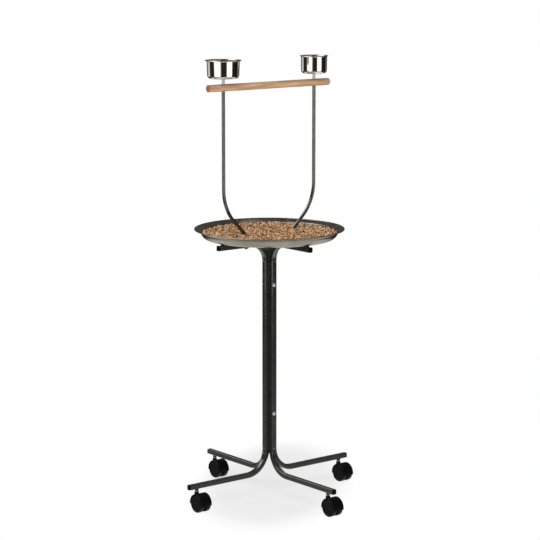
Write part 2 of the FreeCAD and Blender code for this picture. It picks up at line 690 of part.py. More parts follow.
def caster_housing(side):
    """Hood over the two wheels, web between them and the boss for the stem's pin."""
    body = new_body(f"caster_housing_{side}")
    hood = new_sketch(body, "HoodOutline", "YZ_Plane")
    back, front = f"(-trail - {HOOD_RADIUS})", f"(-trail + {HOOD_RADIUS})"
    skirt = "(wheel_radius - hood_skirt)"
    draw(hood, [
        (back, skirt), (front, skirt), (front, "wheel_radius", HOOD_RADIUS, "left"),
        ("-trail", f"wheel_radius + {HOOD_RADIUS}", HOOD_RADIUS, "left"),
        (back, "wheel_radius")])
    width = "(web_width + 2 * wheel_gap + 2 * wheel_width)"
    add_pad(body, hood, width, both=True)
    half = value(f"{width} / 2")
    rims = [f"Edge{number}" for number, edge in enumerate(body.Shape.Edges, 1)
            if abs(abs(edge.CenterOfMass.x) - half) < 1e-3
            and edge.CenterOfMass.z > value(skirt) + 1e-3]
    rounding = body.newObject("PartDesign::Fillet", "HoodRounding")
    rounding.Base = (body.Group[body.Group.index(rounding) - 1], rims)
    bind(rounding, Radius="hood_round")
    doc.recompute()
    web = new_sketch(body, "WebOutline", "YZ_Plane")
    draw_circle(web, "-trail", "wheel_radius", "web_radius")
    add_pad(body, web, "web_width", both=True)
    boss = new_sketch(body, "BossOutline", "XY_Plane", BOSS_TOP)
    draw_circle(boss, "0", "0", "boss_radius")
    add_pad(body, boss, f"{BOSS_TOP} - wheel_radius", down=True)
    for name, direction in (("WellRight", False), ("WellLeft", True)):
        offset = "-web_width / 2" if direction else "web_width / 2"
        well = new_sketch(body, name, "YZ_Plane", offset)
        draw_circle(well, "-trail", "wheel_radius", "wheel_radius + hood_gap")
        add_pocket(body, well, "wheel_gap + wheel_width * 2", up=not direction)
    bore = new_sketch(body, "PinBore", "XY_Plane", BOSS_TOP)
    draw_circle(bore, "0", "0", "pin_size / 2 + pin_play")
    add_pocket(body, bore, "pin_length")
    axle = new_sketch(body, "AxleBore", "YZ_Plane")
    draw_circle(axle, "-trail", "wheel_radius", "axle_size / 2")
    add_pocket(body, axle, "web_width * 2", both=True)
    slots = new_sketch(body, "HoodSlots", "XZ_Plane", "trail + wheel_radius - hood_slot_long")
    middle = "(web_width / 2 + wheel_gap + wheel_width / 2)"
    for across in (middle, f"-{middle}"):
        draw_rounded(slots, across, "wheel_radius + hood_slot", "hood_slot / 2",
                     "hood_slot_long / 2", "(hood_slot / 3)")
    add_pocket(body, slots, "wheel_radius", up=True)
    at_caster(body, side)
    return finish(body)


def caster_axle(side):
    body = new_body(f"caster_axle_{side}")
    section = new_sketch(body, "AxleSection", "YZ_Plane")
    draw_circle(section, "-trail", "wheel_radius", "axle_size / 2")
    add_pad(body, section, "web_width + 2 * wheel_gap + 2 * axle_grip", both=True)
    at_caster(body, side)
    return finish(body)


def caster_wheel(side, hand):
    """Wheel turned about X: blind hub and hollow on the web's side, a rimmed disc outside."""
    body = new_body(f"caster_wheel_{side}_{hand}")
    outline = new_sketch(body, "WheelOutline", "XY_Plane")
    bore = "axle_size / 2 + axle_play"
    edge = "wheel_edge"
    rim = "(wheel_radius - wheel_edge - wheel_rim)"
    draw(outline, [
        ("0", "axle_grip + wheel_gap"), (bore, "axle_grip + wheel_gap"), (bore, "0"),
        ("wheel_hub", "0"), ("wheel_hub", "wheel_hollow"),
        ("wheel_radius - wheel_skin", "wheel_hollow"), ("wheel_radius - wheel_skin", "0"),
        (f"wheel_radius - {edge} / 2", "0", "(wheel_edge / 2)", "left"),
        ("wheel_radius", f"{edge} / 2"), ("wheel_radius", f"wheel_width - {edge}", edge, "left"),
        (f"wheel_radius - {edge}", "wheel_width"), (rim, "wheel_width"),
        (f"{rim} - wheel_step", "wheel_width - wheel_step"), ("0", "wheel_width - wheel_step")])
    add_turn(body, outline, "V_Axis")
    turn = -90 if hand == "right" else 90
    body.Placement = Placement(Vector(), Rotation(Vector(0, 0, 1), turn))
    angle = math.radians(SIDES[side])
    sign = 1 if hand == "right" else -1
    bind(body,
         Placement__Base__x=f"{round(math.cos(angle))} * {STEM_REACH}"
                            f" + {sign} * (web_width / 2 + wheel_gap)",
         Placement__Base__y=f"{round(math.sin(angle))} * {STEM_REACH} - trail",
         Placement__Base__z="wheel_radius")
    return finish(body)


def build():
    for side, angle in SIDES.items():
        bent_tube(side, angle)
        end_cap(f"leg_cap_{side}", "leg_reach", LEG_HEIGHT, angle)
        end_cap(f"arm_cap_{side}", "arm_reach", "arm_height", angle)
        tray_pad(side, angle)
        caster_stem(side, angle)
        caster_housing(side)
        caster_axle(side)
        for hand in ("left", "right"):
            caster_wheel(side, hand)
    core_tube()
    post_bolts()
    stem_nuts()
    tray()
    bedding()
    hoop_fixings()
    perch()
    for side, kind in (("left", "big"), ("right", "small")):
        hoop_rod(side, SIDES[side])
        perch_sleeve(side, SIDES[side])
        cup(side, SIDES[side], kind)


def check_and_write():
    doc.recompute()
    for thing in doc.Objects:
        if "Invalid" in thing.State or "Error" in thing.State:
            raise RuntimeError(f"{thing.Label} failed: {thing.State}")
    for thing in finished:
        shape = thing.Shape
        if shape.isNull() or not shape.isValid() or not shape.Solids:
            raise RuntimeError(f"{thing.Label} has no valid solid")
    for thing in finished:
        thing.Shape.exportStep(f"parts/{thing.Label}.step")
        print(f"{thing.Label}: {len(thing.Shape.Solids)} solids, {thing.Shape.Volume:.0f} mm3")


build()
check_and_write()
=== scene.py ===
import math
import bpy
import numpy as np
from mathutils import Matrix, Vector


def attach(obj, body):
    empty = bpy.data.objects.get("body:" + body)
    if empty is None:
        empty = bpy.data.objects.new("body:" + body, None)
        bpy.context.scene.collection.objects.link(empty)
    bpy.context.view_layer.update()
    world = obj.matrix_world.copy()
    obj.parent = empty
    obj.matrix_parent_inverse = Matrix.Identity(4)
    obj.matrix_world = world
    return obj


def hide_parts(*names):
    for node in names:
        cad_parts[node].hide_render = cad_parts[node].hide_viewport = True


# A wheeled play stand: bent square tubes, a tray of shavings, a hoop and a perch with two cups.
# Metres throughout.  Left is -X, right +X, front -Y and back +Y.

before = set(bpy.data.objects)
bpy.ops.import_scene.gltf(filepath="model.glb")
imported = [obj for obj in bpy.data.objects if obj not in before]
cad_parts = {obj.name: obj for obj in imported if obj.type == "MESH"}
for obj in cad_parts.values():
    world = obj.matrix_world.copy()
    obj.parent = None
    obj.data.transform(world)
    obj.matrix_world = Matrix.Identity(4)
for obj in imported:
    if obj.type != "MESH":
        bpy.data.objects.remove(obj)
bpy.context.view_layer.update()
print("frame loaded:", len(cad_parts), "nodes")

sideAngles = {"right": 0, "back": 90, "left": 180, "front": 270}

tones = {  # the colours of the finishes, from the darker to the lighter one
    "charcoal": ("565650", "64645d"),
    "hammered": ("60605c", "868681"),
    "pewter": ("918a7f", "ada699"), "pewterFleck": ("a39d93",),
    "polished": ("e9e4dc",),
    "zinc": ("b4b5b6", "dededc"),
    # the near-black bolt tone is painted shade, given to the bolts along X
    "brightBolt": ("c4c5c5", "ebebe9"), "paintedShadeBolt": ("2b2b2a",),
    "blackSteel": ("1d1d1c", "383836"),
    "plastic": ("0a090a", "111012"),
    "rubber": ("161616", "222222"),
    # the darkest chip colour is also painted shade: the bed between the loose chips takes it
    "chips": ("341b0c", "8c5a30", "d9a470", "f3cda2", "ffecd2"), "chipStreak": ("a87448",),
    "dowel": ("b48965", "dfb791"), "dowelFibre": ("7c5036",), "dowelEnd": ("8a5434", "b5794f")}


def tone(name):  # hex colours as Blender's linear ones
    colours = []
    for code in tones[name]:
        parts = np.array([int(code[i:i + 2], 16) for i in (0, 2, 4)]) / 255
        linear = np.where(parts <= 0.04045, parts / 12.92, ((parts + 0.055) / 1.055) ** 2.4)
        colours.append((*linear.tolist(), 1.0))
    return colours


class Value:  # a socket that adds Math nodes when it is used in a sum
    def __init__(self, owner, socket):
        self.owner = owner
        self.socket = socket

    def combine(self, operation, first, second):
        return self.owner.node("Math", {"operation": operation}, {0: first, 1: second})

    def __add__(self, other):
        return self.combine("ADD", self, other)

    def __radd__(self, other):
        return self.combine("ADD", other, self)

    def __sub__(self, other):
        return self.combine("SUBTRACT", self, other)

    def __rsub__(self, other):
        return self.combine("SUBTRACT", other, self)

    def __mul__(self, other):
        return self.combine("MULTIPLY", self, other)

    def __rmul__(self, other):
        return self.combine("MULTIPLY", other, self)

    def __pow__(self, other):
        return self.combine("POWER", self, other)


class Nodes:  # a node tree, with short ways to add what is used here
    def __init__(self, tree):
        self.tree = tree
        self.tree.nodes.clear()

    def feed(self, socket, value):
        if isinstance(value, Value):
            self.tree.links.new(value.socket, socket)
        else:
            socket.default_value = value

    def node(self, kind, settings=None, inputs=None, output=0):
        made = self.tree.nodes.new("ShaderNode" + kind)
        for name, setting in (settings or {}).items():
            if name == "stops":
                ramp = made.color_ramp
                while len(ramp.elements) < len(setting):
                    ramp.elements.new(0.5)
                for element, (place, colour) in zip(ramp.elements, setting):
                    element.position = place
                    element.color = colour
            else:
                setattr(made, name, setting)
        for name, value in (inputs or {}).items():
            self.feed(made.inputs[name], value)
        return Value(self, made.outputs[output])

    def place(self, scale=(1, 1, 1), shift=(0, 0, 0)):  # the piece's own coordinates, in metres
        own = self.node("TexCoord", output="Object")
        return self.node("Mapping", {}, {"Vector": own, "Scale": scale, "Location": shift})

    def split(self, vector, axes):
        return [self.node("SeparateXYZ", {}, {"Vector": vector}, axis) for axis in axes]

    def size(self, value):  # without its sign
        return self.node("Math", {"operation": "ABSOLUTE"}, {0: value})

    def noise(self, where, scale, detail=3.0, rough=0.5, distortion=0.0):
        return self.node("TexNoise", {}, {
            "Vector": where, "Scale": scale, "Detail": detail, "Roughness": rough,
            "Distortion": distortion})

    def window(self, value, low, high, start=0.0, end=1.0):
        # maps low..high to start..end and clamps
        return self.node("MapRange", {"interpolation_type": "SMOOTHSTEP"}, {
            "Value": value, "From Min": low, "From Max": high, "To Min": start, "To Max": end})

    def between(self, value, fadeIn, fadeOut):  # one inside the two edges, which are ranges
        return self.window(value, *fadeIn) * self.window(value, *fadeOut, 1, 0)

    def blend(self, low, high, factor):
        return self.node("Mix", {"data_type": "RGBA"}, {0: factor, 6: low, 7: high}, 2)

    def bump(self, height, distance, strength):
        return self.node("Bump", {}, {
            "Height": height, "Distance": distance, "Strength": strength}, "Normal")


class Finish(Nodes):  # one material: a Principled shader and the nodes that feed it
    def __init__(self, name, **plain):
        self.material = bpy.data.materials.new(name)
        self.material.use_nodes = True
        super().__init__(self.material.node_tree)
        self.shader = self.tree.nodes.new("ShaderNodeBsdfPrincipled")
        self.target = self.tree.nodes.new("ShaderNodeOutputMaterial").inputs[0]
        self.tree.links.new(self.shader.outputs[0], self.target)
        self.set(**plain)

    def set(self, **values):  # baseColor feeds the socket Base Color
        for name, value in values.items():
            label = "".join(" " + c if c.isupper() else c for c in name).title()
            self.feed(self.shader.inputs[label.replace("Ior", "IOR")], value)


def makePiece(name, points, faces, finish, hides=(), body="stand", smooth=True, sharp=None):
    mesh = bpy.data.meshes.new(name)
    mesh.from_pydata(np.asarray(points, float).reshape(-1, 3).tolist(), [], faces)
    mesh.materials.append(finish.material)
    mesh.polygons.foreach_set("use_smooth", np.full(len(mesh.polygons), smooth))
    if sharp is not None:
        mesh.set_sharp_from_angle(angle=math.radians(sharp))
    mesh.update()
    piece = bpy.data.objects.new(name, mesh)
    bpy.context.scene.collection.objects.link(piece)
    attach(piece, body)
    if hides:
        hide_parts(*hides)
    return piece


def gridFaces(rows, columns):
    # quads over a grid of points, row by row, whose columns close on themselves
    r, c = np.meshgrid(np.arange(rows - 1), np.arange(columns), indexing="ij")
    c2 = (c + 1) % columns
    quads = np.stack([r * columns + c, r * columns + c2, (r + 1) * columns + c2,
                      (r + 1) * columns + c], -1)
    return quads.reshape(-1, 4).tolist()


def fanFaces(rows, columns):
    # triangles that close a grid at both ends, to the two points that follow its own
    k = np.arange(columns)
    after = (k + 1) % columns
    first, last = rows * columns, (rows - 1) * columns
    fan = np.stack([np.full(columns, first), after, k], -1).tolist()
    return fan + np.stack([np.full(columns, first + 1), last + k, last + after], -1).tolist()


def spunSolid(profile, steps):
    # a profile of (radius, height) carried round Z: x = r cos a, y = r sin a, z = height.  It
    # starts and ends on the axis, where its rings become single points.
    profile = np.asarray(profile, float)
    turn = np.linspace(0, 2 * math.pi, steps, endpoint=False)
    r, z = profile[1:-1, 0][:, None], profile[1:-1, 1][:, None]
    rings = np.stack([r * np.cos(turn), r * np.sin(turn), z + 0 * turn], -1)
    points = np.vstack([rings.reshape(-1, 3), [[0, 0, profile[0][1]], [0, 0, profile[-1][1]]]])
    return points, gridFaces(len(rings), steps) + fanFaces(len(rings), steps)


def arcPoints(centre, radius, start, end, count):
    # points of an arc: centre plus radius times the cosine and sine of evenly spaced degrees
    a = np.radians(np.linspace(start, end, count))
    return np.stack([centre[0] + radius * np.cos(a), centre[1] + radius * np.sin(a)], -1)


def bentPath(corners, radii, step, bendStep, reach):
    # straight runs joined by tangent arcs in a plane, close set within reach of a bend; gives
    # points, tangents and the distance along the path to a bend, below zero inside one
    corners = np.asarray(corners, float)
    pieces = []
    here = corners[0]
    for index in range(1, len(corners) - 1):
        before = corners[index] - corners[index - 1]
        after = corners[index + 1] - corners[index]
        before /= np.linalg.norm(before)
        after /= np.linalg.norm(after)
        turn = math.acos(np.clip(before @ after, -1, 1))
        side = np.sign(before[0] * after[1] - before[1] * after[0])
        radius = radii[index - 1]
        cut = radius * math.tan(turn / 2)
        start = corners[index] - before * cut
        pieces.append(("line", here, start))
        normal = np.array([-before[1], before[0]]) * side
        pieces.append(("arc", start + normal * radius, -normal, turn * side, radius))
        here = corners[index] + after * cut
    pieces.append(("line", here, corners[-1]))
    points, tangents, gaps = [], [], []
    for piece in pieces:
        if piece[0] == "line":
            length = np.linalg.norm(piece[2] - piece[1])
            near = np.arange(0, min(reach, length / 2), bendStep)
            t = np.linspace(0, length, max(2, int(length / step) + 1))
            t = np.unique(np.round(np.concatenate([t, near, length - near]), 7))
            direction = (piece[2] - piece[1]) / length
            points.append(piece[1] + t[:, None] * direction)
            tangents.append(np.repeat(direction[None], len(t), 0))
            gaps.append(np.minimum(t if piece is not pieces[0] else np.inf,
                                   length - t if piece is not pieces[-1] else np.inf))
        else:
            centre, spoke, turn, radius = piece[1:]
            count = max(8, int(abs(turn) * radius / bendStep))
            a = np.linspace(0, turn, count + 1)[1:-1]
            arm = spoke * np.cos(a)[:, None] + np.array([-spoke[1], spoke[0]]) * np.sin(a)[:, None]
            points.append(centre + radius * arm)
            tangents.append(np.stack([-arm[:, 1], arm[:, 0]], -1) * np.sign(turn))
            gaps.append(-np.minimum(np.abs(a), abs(turn) - np.abs(a)) * radius)
    return np.vstack(points), np.vstack(tangents), np.concatenate(gaps)


def turned(points, degrees):  # about Z: x cos a - y sin a, x sin a + y cos a
    c, s = math.cos(math.radians(degrees)), math.sin(math.radians(degrees))
    x, y = points[..., 0], points[..., 1]
    return np.stack([x * c - y * s, x * s + y * c, points[..., 2]], -1)


def closedTube(rings):
    # quads along a run of rings, with a flat face at each end; rings go anticlockwise from the end
    rows, columns = rings.shape[:2]
    faces = gridFaces(rows, columns)
    faces.append(list(range(columns))[::-1])
    faces.append([(rows - 1) * columns + k for k in range(columns)])
    return rings, faces


def smoothStep(t):  # three t squared less two t cubed, from 0 to 1
    t = np.clip(t, 0, 1)
    return t * t * (3 - 2 * t)


charcoal = Finish("CharcoalCoat", metallic=0.82, ior=1.5, coatWeight=1.0, coatRoughness=0.06)
own = charcoal.place()
charcoal.set(
    baseColor=charcoal.blend(*tone("charcoal"), charcoal.noise(own, 60, 3)),
    roughness=charcoal.window(charcoal.noise(own, 25, 4), 0.3, 0.7, 0.20, 0.30),
    normal=charcoal.bump(charcoal.noise(own, 900, 2), 0.00012, 0.6))

hammered = Finish("GreyHammeredCoat", metallic=1.0)
dimples = hammered.noise(hammered.place(), 420, 2, 0.4, 0.6)
hammered.set(
    baseColor=hammered.blend(*tone("hammered"), hammered.window(dimples, 0.35, 0.65)),
    roughness=0.2,
    normal=hammered.bump(dimples, 0.0004, 0.7))

pewter = Finish("PewterCoat", metallic=1.0, ior=1.5)
own = pewter.place()
fleck = pewter.noise(own, 1500, 2, 0.6)
cloud = pewter.noise(own, 14, 4, 0.6)
pewter.set(
    baseColor=pewter.blend(
        pewter.blend(*tone("pewter"), pewter.window(cloud, 0.3, 0.7)),
        tone("pewterFleck")[0], pewter.window(fleck, 0.62, 0.75, 0.0, 0.35)),
    roughness=pewter.window(cloud, 0.3, 0.7, 0.20, 0.30),
    normal=pewter.bump(fleck, 0.00008, 0.5))

polished = Finish("PolishedSteel", metallic=1.0)
haze = polished.noise(polished.place((1, 1, 0.04)), 900, 2)
polished.set(
    baseColor=tone("polished")[0],
    roughness=polished.window(haze, 0.3, 0.7, 0.03, 0.09))

zinc = Finish("BrightZinc", metallic=0.75)
grain = zinc.noise(zinc.place(), 500, 3)
zinc.set(
    baseColor=zinc.blend(*tone("zinc"), grain),
    roughness=zinc.window(grain, 0.3, 0.7, 0.18, 0.32))

boltSteel = Finish("BoltSteel")  # bright bolts along Y; those along X are coloured near black, a painted shade for heads that face away from the light
own = boltSteel.place()
x, y = boltSteel.split(own, "XY")
# the bolts along X get the near-black tone: painted shade, not a finish of their own
alongX = boltSteel.window(x ** 2 - y ** 2, -0.00001, 0.00001)
grain = boltSteel.noise(own, 500, 3)
boltSteel.set(
    baseColor=boltSteel.blend(
        boltSteel.blend(*tone("brightBolt"), grain), tone("paintedShadeBolt")[0], alongX),
    metallic=boltSteel.window(alongX, 0, 1, 0.6, 0.5),
    roughness=boltSteel.window(grain, 0.3, 0.7, 0.25, 0.4))

blackSteel = Finish("BlackFastener", metallic=0.6)
blackSteel.set(
    baseColor=blackSteel.blend(*tone("blackSteel"), blackSteel.noise(blackSteel.place(), 400, 3)),
    roughness=0.33)

plastic = Finish("BlackMouldedPlastic", ior=1.25)
own = plastic.place()
texture = plastic.noise(own, 1800, 2, 0.6)
plastic.set(
    baseColor=plastic.blend(*tone("plastic"), plastic.noise(own, 80, 3)),
    roughness=plastic.window(texture, 0.3, 0.7, 0.28, 0.38),
    normal=plastic.bump(texture, 0.00006, 0.6))

rubber = Finish("BlackRubber", roughness=0.75)
own = rubber.place()
rubber.set(
    baseColor=rubber.blend(*tone("rubber"), rubber.noise(own, 300, 3)),
    normal=rubber.bump(rubber.noise(own, 1200, 2), 0.00015, 0.7))

# the first line that holds a word of the node's name gives its finish
finishWords = (
    (("core_tube", "stem_nuts"), charcoal),
    (("cap", "housing", "wheel"), plastic),
    (("pad", "spacers"), rubber),
    (("stem_", "axle", "sleeve", "stud"), zinc),
    (("bolts",), boltSteel),
    (("nuts", "screws", "washers"), blackSteel),
    (("tube_",), charcoal),
    (("hoop_rod",), hammered),
    (("tray",), pewter),
    (("cup_",), polished))

for node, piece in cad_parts.items():
    for words, finish in finishWords:
        if any(word in node for word in words):
            piece.data.materials.clear()
            piece.data.materials.append(finish.material)
            break
print("finishes made")


tube = {
    "side": 0.014, "corner": 0.002, "legHeight": 0.069, "legReach": 0.283, "legBend": 0.066,
    "armHeight": 0.727, "armReach": 0.178, "armBend": 0.05,
    # the groove pressed into the inner wall of a bend
    "grooveDepth": 0.003, "grooveHalf": 0.0054, "grooveRamp": 0.0035, "grooveLead": 0.005,
    "grooveWall": 0.0022,
    # how far the side walls swell in a bend, and from where across
    "bulge": 0.0004, "bulgeRamp": 0.01, "bulgeFrom": 0.005,
    "cornerSteps": 7, "flatSteps": 11, "step": 0.02, "bendStep": 0.0013, "fineReach": 0.014}


def roundedSquare(side, corner, cornerSteps, flatSteps):
    # a quarter of the outline, a corner arc and the flat after it, turned to the four sides
    half = side / 2 - corner
    flat = np.linspace(half, -half, flatSteps + 2)[1:-1]
    quarters = [np.vstack([arcPoints((half, half), corner, 0, 90, cornerSteps),
                           np.stack([flat, np.full(flatSteps, side / 2)], -1)])]
    for _ in range(3):
        quarters.append(np.stack([-quarters[-1][:, 1], quarters[-1][:, 0]], -1))
    return np.vstack(quarters)


def bentSquareTube(side, degrees):
    # The outline of the tube carried along its bent centreline.  In a bend the inner wall is
    # pressed in by depth * (1 - t^2)^1.5, with t across the wall, and the groove has round ends.
    corners = [(tube["legReach"], tube["legHeight"]), (tube["side"], tube["legHeight"]),
               (tube["side"], tube["armHeight"]), (tube["armReach"], tube["armHeight"])]
    path, along, gap = bentPath(corners, [tube["legBend"], tube["armBend"]], tube["step"],
                                tube["bendStep"], tube["fineReach"])
    gap = gap[:, None]
    outline = roundedSquare(tube["side"], tube["corner"], tube["cornerSteps"], tube["flatSteps"])
    inward = outline[:, 0][None, :] + 0 * gap
    across = outline[:, 1][None, :] + 0 * gap
    t = across / tube["grooveHalf"]
    begun = smoothStep((-gap + tube["grooveLead"] * (1 - t ** 2)) / tube["grooveRamp"])
    facing = smoothStep((inward - tube["side"] / 2) / tube["grooveWall"] + 1)
    groove = tube["grooveDepth"] * np.clip(1 - t ** 2, 0, 1) ** 1.5 * begun * facing
    swell = tube["bulge"] * smoothStep(-gap / tube["bulgeRamp"])
    swell = swell * (1 - (inward / tube["side"] * 2) ** 2)
    inward = inward - groove
    across = across + swell * np.sign(across) * (np.abs(across) > tube["bulgeFrom"])
    # the normal of the path points towards the centre of each bend
    r = path[:, 0][:, None] + inward * along[:, 1][:, None]
    z = path[:, 1][:, None] - inward * along[:, 0][:, None]
    points, faces = closedTube(turned(np.stack([r, across, z], -1), degrees))
    makePiece(side + "Tube", points, faces, charcoal, ["tube_" + side], sharp=50)


for side, degrees in sideAngles.items():
    bentSquareTube(side, degrees)
print("bent tubes made")


tray = {
    "bottom": 0.738, "floor": 0.169, "corner": 0.0235, "neck": 0.019, "sheet": 0.001,
    "neckBend": 0.0021, "neckDrop": 0.0004, "bead": 0.0013, "radius": 0.210, "depth": 0.029,
    # degrees that the curves of the neck and the bead span, and the points along each part
    "neckSpan": (172, 122), "beadSpan": (-115, 200),
    "floorSteps": 14, "cornerSteps": 22, "neckSteps": 6, "beadSteps": 22, "steps": 256}


def sheetCorner(radius, offset):
    # the floor, the round corner and the slope above it, as seen from one side of the sheet
    wall = tray["floor"] + math.sqrt(radius ** 2 - (tray["corner"] - tray["neck"]) ** 2)
    end = math.degrees(math.asin((tray["neck"] - tray["corner"]) / radius)) - 2
    arc = arcPoints((tray["floor"], tray["corner"]), radius, -90, end, tray["cornerSteps"])
    run = np.linspace(0, tray["floor"], tray["floorSteps"])[:-1]
    neck = arcPoints((wall + tray["neckBend"], tray["neck"] - tray["neckDrop"]),
                     tray["neckBend"], *tray["neckSpan"], tray["neckSteps"])
    return np.vstack([np.stack([run, np.full(len(run), offset)], -1), arc, neck])


def makeTray():
    # a sheet-metal profile carried round Z: floor, corner, slope, rolled bead and the inside again
    outer = sheetCorner(tray["corner"], 0)
    inner = sheetCorner(tray["corner"] - tray["sheet"], tray["sheet"])
    centre = (tray["radius"] - tray["bead"], tray["depth"] - tray["bead"])
    bead = arcPoints(centre, tray["bead"], *tray["beadSpan"], tray["beadSteps"])
    profile = np.vstack([outer, bead, inner[::-1]])
    profile[:, 1] += tray["bottom"]
    points, faces = spunSolid(profile, tray["steps"])
    makePiece("panTray", points, faces, pewter, ["tray"], sharp=60)


makeTray()
print("tray made")


bedding = {
    # the bed under the loose chips: its radius, its top and underside, and what makes it uneven
    "height": 0.7545, "crown": 0.003, "edge": 0.19, "bedRadius": 0.1895, "sink": 0.0022,
    "crumple": 0.0006, "underside": 0.7394, "undersideShare": 0.895, "shoulder": 0.7425,
    "shoulderShare": 0.965, "innerRing": 0.004, "rings": 44, "steps": 160,
    "ripple": 0.0008, "rippleRates": (33, 29), "furrow": 0.0006, "furrowRates": (71, 58),
    "crumpleRates": (400, 380),
    # low heaps: x, y, size and rise
    "heaps": ((0.02, 0.125, 0.035, 0.0022), (0.10, 0.10, 0.04, 0.0018),
              (-0.12, 0.03, 0.03, 0.0008), (0.03, -0.03, 0.05, 0.0006)),
    # the loose chips: layers with their lift, size, and spread of size, pose and place
    "layers": {"shavingsLower": -0.0008, "shavingsUpper": 0.0006}, "flakes": 6500, "seed": 11,
    "length": 0.0066, "width": 0.0034, "thickness": 0.00045, "lengthSpread": 0.38,
    "widthSpread": 0.35, "curl": 0.30, "taper": 0.5, "tumble": 0.5, "scatter": 0.0008,
    "radius": 0.1865, "limit": 0.1893}


def bedHeight(x, y):
    # a slightly crowned bed with crossed ripples and low heaps, each a bell of the distance to it
    crown = bedding["crown"] * (1 - (x ** 2 + y ** 2) / bedding["edge"] ** 2)
    (across, along), (fx, fy) = bedding["rippleRates"], bedding["furrowRates"]
    ripple = bedding["ripple"] * np.sin(across * x + 1.2) * np.cos(along * y + 0.4)
    ripple = ripple + bedding["furrow"] * np.sin(fx * x + fy * y)
    heaps = 0
    for cx, cy, size, rise in bedding["heaps"]:
        heaps = heaps + rise * np.exp(-((x - cx) ** 2 + (y - cy) ** 2) / size ** 2)
    return bedding["height"] + crown + ripple + heaps


def makeBed():
    # rings of growing radius whose height is the bed's, closed by a flat underside
    steps = bedding["steps"]
    r = np.linspace(bedding["innerRing"], bedding["bedRadius"], bedding["rings"])[:, None]
    a = np.linspace(0, 2 * math.pi, steps, endpoint=False)[None, :]
    x, y = r * np.cos(a), r * np.sin(a)
    across, along = bedding["crumpleRates"]
    crumple = bedding["crumple"] * np.sin(across * x) * np.sin(along * y)
    top = np.stack([x, y, bedHeight(x, y) - bedding["sink"] + crumple], -1)
    edges = [np.stack([x[-1] * share, y[-1] * share, np.full(steps, height)], -1)[None]
             for share, height in ((bedding["undersideShare"], bedding["underside"]),
                                   (bedding["shoulderShare"], bedding["shoulder"]))]
    grid = np.vstack(edges + [top[::-1]])
    centres = [[0, 0, bedding["underside"]], [0, 0, float(bedHeight(0, 0)) - bedding["sink"]]]
    faces = gridFaces(len(grid), steps) + fanFaces(len(grid), steps)
    # the bed has no tint, so it takes the darkest chip colour: painted shade in the gaps between
    # the loose chips
    makePiece("shavingsBed", np.vstack([grid.reshape(-1, 3), centres]), faces, chips,
              ["bedding"])


def makeFlakes(name, count, lift, seed):
    # thin curled chips: a strip of four stations bent as a parabola, given two faces, turned
    # by a random heading and tilt, and set down on the bed
    rng = np.random.default_rng(seed)
    u = np.repeat([-1, -0.34, 0.34, 1], 2)
    v = np.tile([-1.0, 1.0], 4)
    corners = 2 * len(u)
    length = bedding["length"] * rng.lognormal(0, bedding["lengthSpread"], count) / 2
    width = bedding["width"] * rng.lognormal(0, bedding["widthSpread"], count) / 2
    curl = rng.normal(0, bedding["curl"], count)
    taper = rng.uniform(0.0, bedding["taper"], count)
    x = u[None] * length[:, None]
    y = v[None] * width[:, None] * (1 - taper[:, None] * (u[None] + 1) / 2)
    z = curl[:, None] * (u[None] ** 2 - 0.5) * length[:, None]
    half = bedding["thickness"] / 2
    local = np.stack([np.stack([x, y, z + half], -1), np.stack([x, y, z - half], -1)], 1)
    local = local.reshape(count, corners, 3)
    heading = rng.uniform(0, 2 * math.pi, count)[:, None]
    tilt = rng.normal(0, bedding["tumble"], count)[:, None]
    roll = rng.normal(0, bedding["tumble"], count)[:, None]
    x, y, z = local[..., 0], local[..., 1], local[..., 2]
    y, z = y * np.cos(roll) - z * np.sin(roll), y * np.sin(roll) + z * np.cos(roll)
    x, z = x * np.cos(tilt) - z * np.sin(tilt), x * np.sin(tilt) + z * np.cos(tilt)
    x, y = (x * np.cos(heading) - y * np.sin(heading),
            x * np.sin(heading) + y * np.cos(heading))
    radius = bedding["radius"] * np.sqrt(rng.uniform(0, 1, count))
    around = rng.uniform(0, 2 * math.pi, count)
    cx, cy = radius * np.cos(around), radius * np.sin(around)
    cz = bedHeight(cx, cy) + lift + rng.normal(0, bedding["scatter"], count)
    points = np.stack([x + cx[:, None], y + cy[:, None], z + cz[:, None]], -1)
    keep = np.hypot(points[..., 0], points[..., 1]).max(1) < bedding["limit"]
    points = points[keep]
    top = [[0, 2, 3, 1], [2, 4, 5, 3], [4, 6, 7, 5]]
    under = [[len(u) + i for i in quad[::-1]] for quad in top]
    rim = [[0, 8, 10, 2], [2, 10, 12, 4], [4, 12, 14, 6], [1, 3, 11, 9], [3, 5, 13, 11],
           [5, 7, 15, 13], [0, 1, 9, 8], [6, 14, 15, 7]]
    one = np.array(top + under + rim)
    starts = corners * np.arange(len(points))[:, None, None]
    faces = (one[None] + starts).reshape(-1, 4).tolist()
    piece = makePiece(name, points, faces, chips, smooth=False)
    tint = piece.data.attributes.new("tint", "FLOAT", "POINT")
    tints = rng.uniform(0, 1, count)[keep]
    tint.data.foreach_set("value", np.repeat(tints, corners).astype(np.float32))


chips = Finish("WoodShavings", roughness=0.8, ior=1.4)
# each flake's own random tint; the bed has none, reads 0 and gets the darkest stop as painted
# shade
tint = chips.node("Attribute", {"attribute_name": "tint"}, output="Fac")
streak = chips.noise(chips.place(), 700, 2)
shade = chips.node(
    "ValToRGB", {"stops": list(zip((0.0, 0.2, 0.42, 0.72, 1.0), tone("chips")))}, {"Fac": tint})
chips.set(baseColor=chips.blend(
    shade, tone("chipStreak")[0], chips.window(streak, 0.45, 0.75, 0, 0.35)))
makeBed()
for index, (name, lift) in enumerate(bedding["layers"].items()):
    makeFlakes(name, bedding["flakes"], lift, bedding["seed"] + index)
print("bedding made")


perch = {
    "radius": 0.010, "half": 0.212, "height": 1.166, "round": 0.0012, "waviness": 0.006,
    "waveRate": 23, "runSteps": 80, "endSteps": 6, "roundSteps": 7, "turnSteps": 72,
    "endGrainFrom": (0.0007, 0.0003), "pith": (0, 0.006, 0.004), "growthRings": 190.0}


